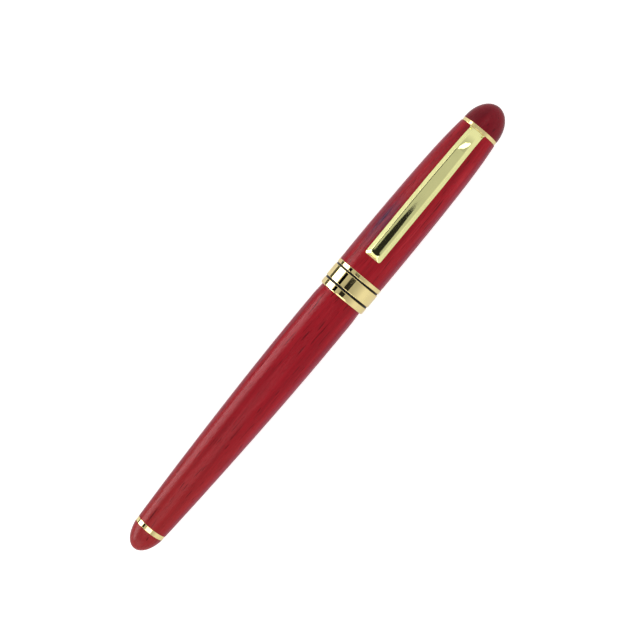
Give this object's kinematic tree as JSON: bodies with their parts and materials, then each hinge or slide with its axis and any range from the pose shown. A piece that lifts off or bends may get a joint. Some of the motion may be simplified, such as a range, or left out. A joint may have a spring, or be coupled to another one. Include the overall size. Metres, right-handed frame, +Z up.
{
  "type": "capped rollerball pen",
  "caption": "Slim capped rollerball pen with a turned red wood barrel and cap, domed wooden ends, plated rings, a ringed cap band and a sprung pocket clip.",
  "frame": {"origin": "under the middle of the capped pen, on the surface that its widest cap band touches", "axes": "+X along the pen from the barrel end to the cap end; +Z up, out through the pocket clip; +Y completes a right-handed frame"},
  "size_m": [0.14, 0.013, 0.0144],
  "materials": {
    "rosewood": "satin lacquer over red-dyed rosewood with fine dark pores along the grain",
    "polished_gold": "polished pale gold plating",
    "brass": "turned, unplated",
    "black_enamel": "gloss black enamel",
    "black_resin": "moulded black resin, semi-gloss",
    "cup_plastic": "moulded black",
    "steel": "zinc-plated",
    "spring_steel": "bright drawn wire",
    "refill_tube_plastic": "smooth grey-white",
    "refill_plug_plastic": "moulded blue-black",
    "ink_fibre": "ink-soaked fibre",
    "nickel_silver": "turned nickel silver",
    "carbide": "ground ball"
  },
  "bodies": {
    "barrel": {"barrel_wood_sleeve": "rosewood", "barrel_liner": "brass", "barrel_thread_insert": "brass", "barrel_end_plug": "brass", "barrel_end_stud": "steel", "barrel_end_ring": "polished_gold", "barrel_finial": "rosewood", "refill_spring": "spring_steel"},
    "section_ring": {"grip_trim_ring": "polished_gold"},
    "grip": {"grip_core": "brass", "grip_sleeve": "black_resin", "nose_cone": "polished_gold"},
    "refill": {"refill_tube": "refill_tube_plastic", "refill_end_plug": "refill_plug_plastic", "ink_reservoir": "ink_fibre", "ink_feed": "ink_fibre", "refill_nose": "refill_plug_plastic", "refill_point": "nickel_silver"},
    "writing_ball": {"refill_ball": "carbide"},
    "snap_ring": {"cap_snap_ring": "spring_steel"},
    "cap": {"cap_wood_sleeve": "rosewood", "cap_liner": "brass", "cap_inner_cup": "cup_plastic", "cap_band": "polished_gold", "lower_band_inlay": "black_enamel", "upper_band_inlay": "black_enamel", "clip_mount_ring": "polished_gold", "cap_finial_ring": "polished_gold", "cap_finial": "rosewood", "cap_finial_stud": "steel"},
    "clip": {"clip_arm": "polished_gold"}
  },
  "joints": [
    {"name": "section_advance", "type": "slide", "parent": "barrel", "child": "section_ring", "axis": [1, 0, 0], "range_m": [0, 0.0053]},
    {"name": "section_turn", "type": "hinge", "parent": "section_ring", "child": "grip", "pos_m": [0.0117, 0, 0.00652], "axis": [1, 0, 0], "range_deg": [0, 2520]},
    {"name": "refill_push", "type": "slide", "parent": "grip", "child": "refill", "axis": [1, 0, 0], "range_m": [-0.0015, 0], "stiffness_N_per_m": 300, "springref_m": 0.002, "deforming": ["refill_spring"]},
    {"name": "ball_roll", "type": "hinge", "parent": "refill", "child": "writing_ball", "pos_m": [0.05275, 0, 0.00652], "axis": [0, 1, 0], "continuous": true},
    {"name": "cap_swivel", "type": "hinge", "parent": "grip", "child": "snap_ring", "pos_m": [0.0133, 0, 0.00652], "axis": [1, 0, 0], "continuous": true},
    {"name": "cap_pull", "type": "slide", "parent": "snap_ring", "child": "cap", "axis": [1, 0, 0], "range_m": [0, 0.048]},
    {"name": "clip_flex", "type": "hinge", "parent": "cap", "child": "clip", "pos_m": [0.06114, 0, 0.01147], "axis": [0, 1, 0], "range_deg": [0, 4], "stiffness_Nm_per_rad": 1.6, "springref_deg": -1.15}
  ],
  "couplings": [
    {"joint": "section_advance", "follows": "section_turn", "m_per_rad": 0.00011937}
  ]
}
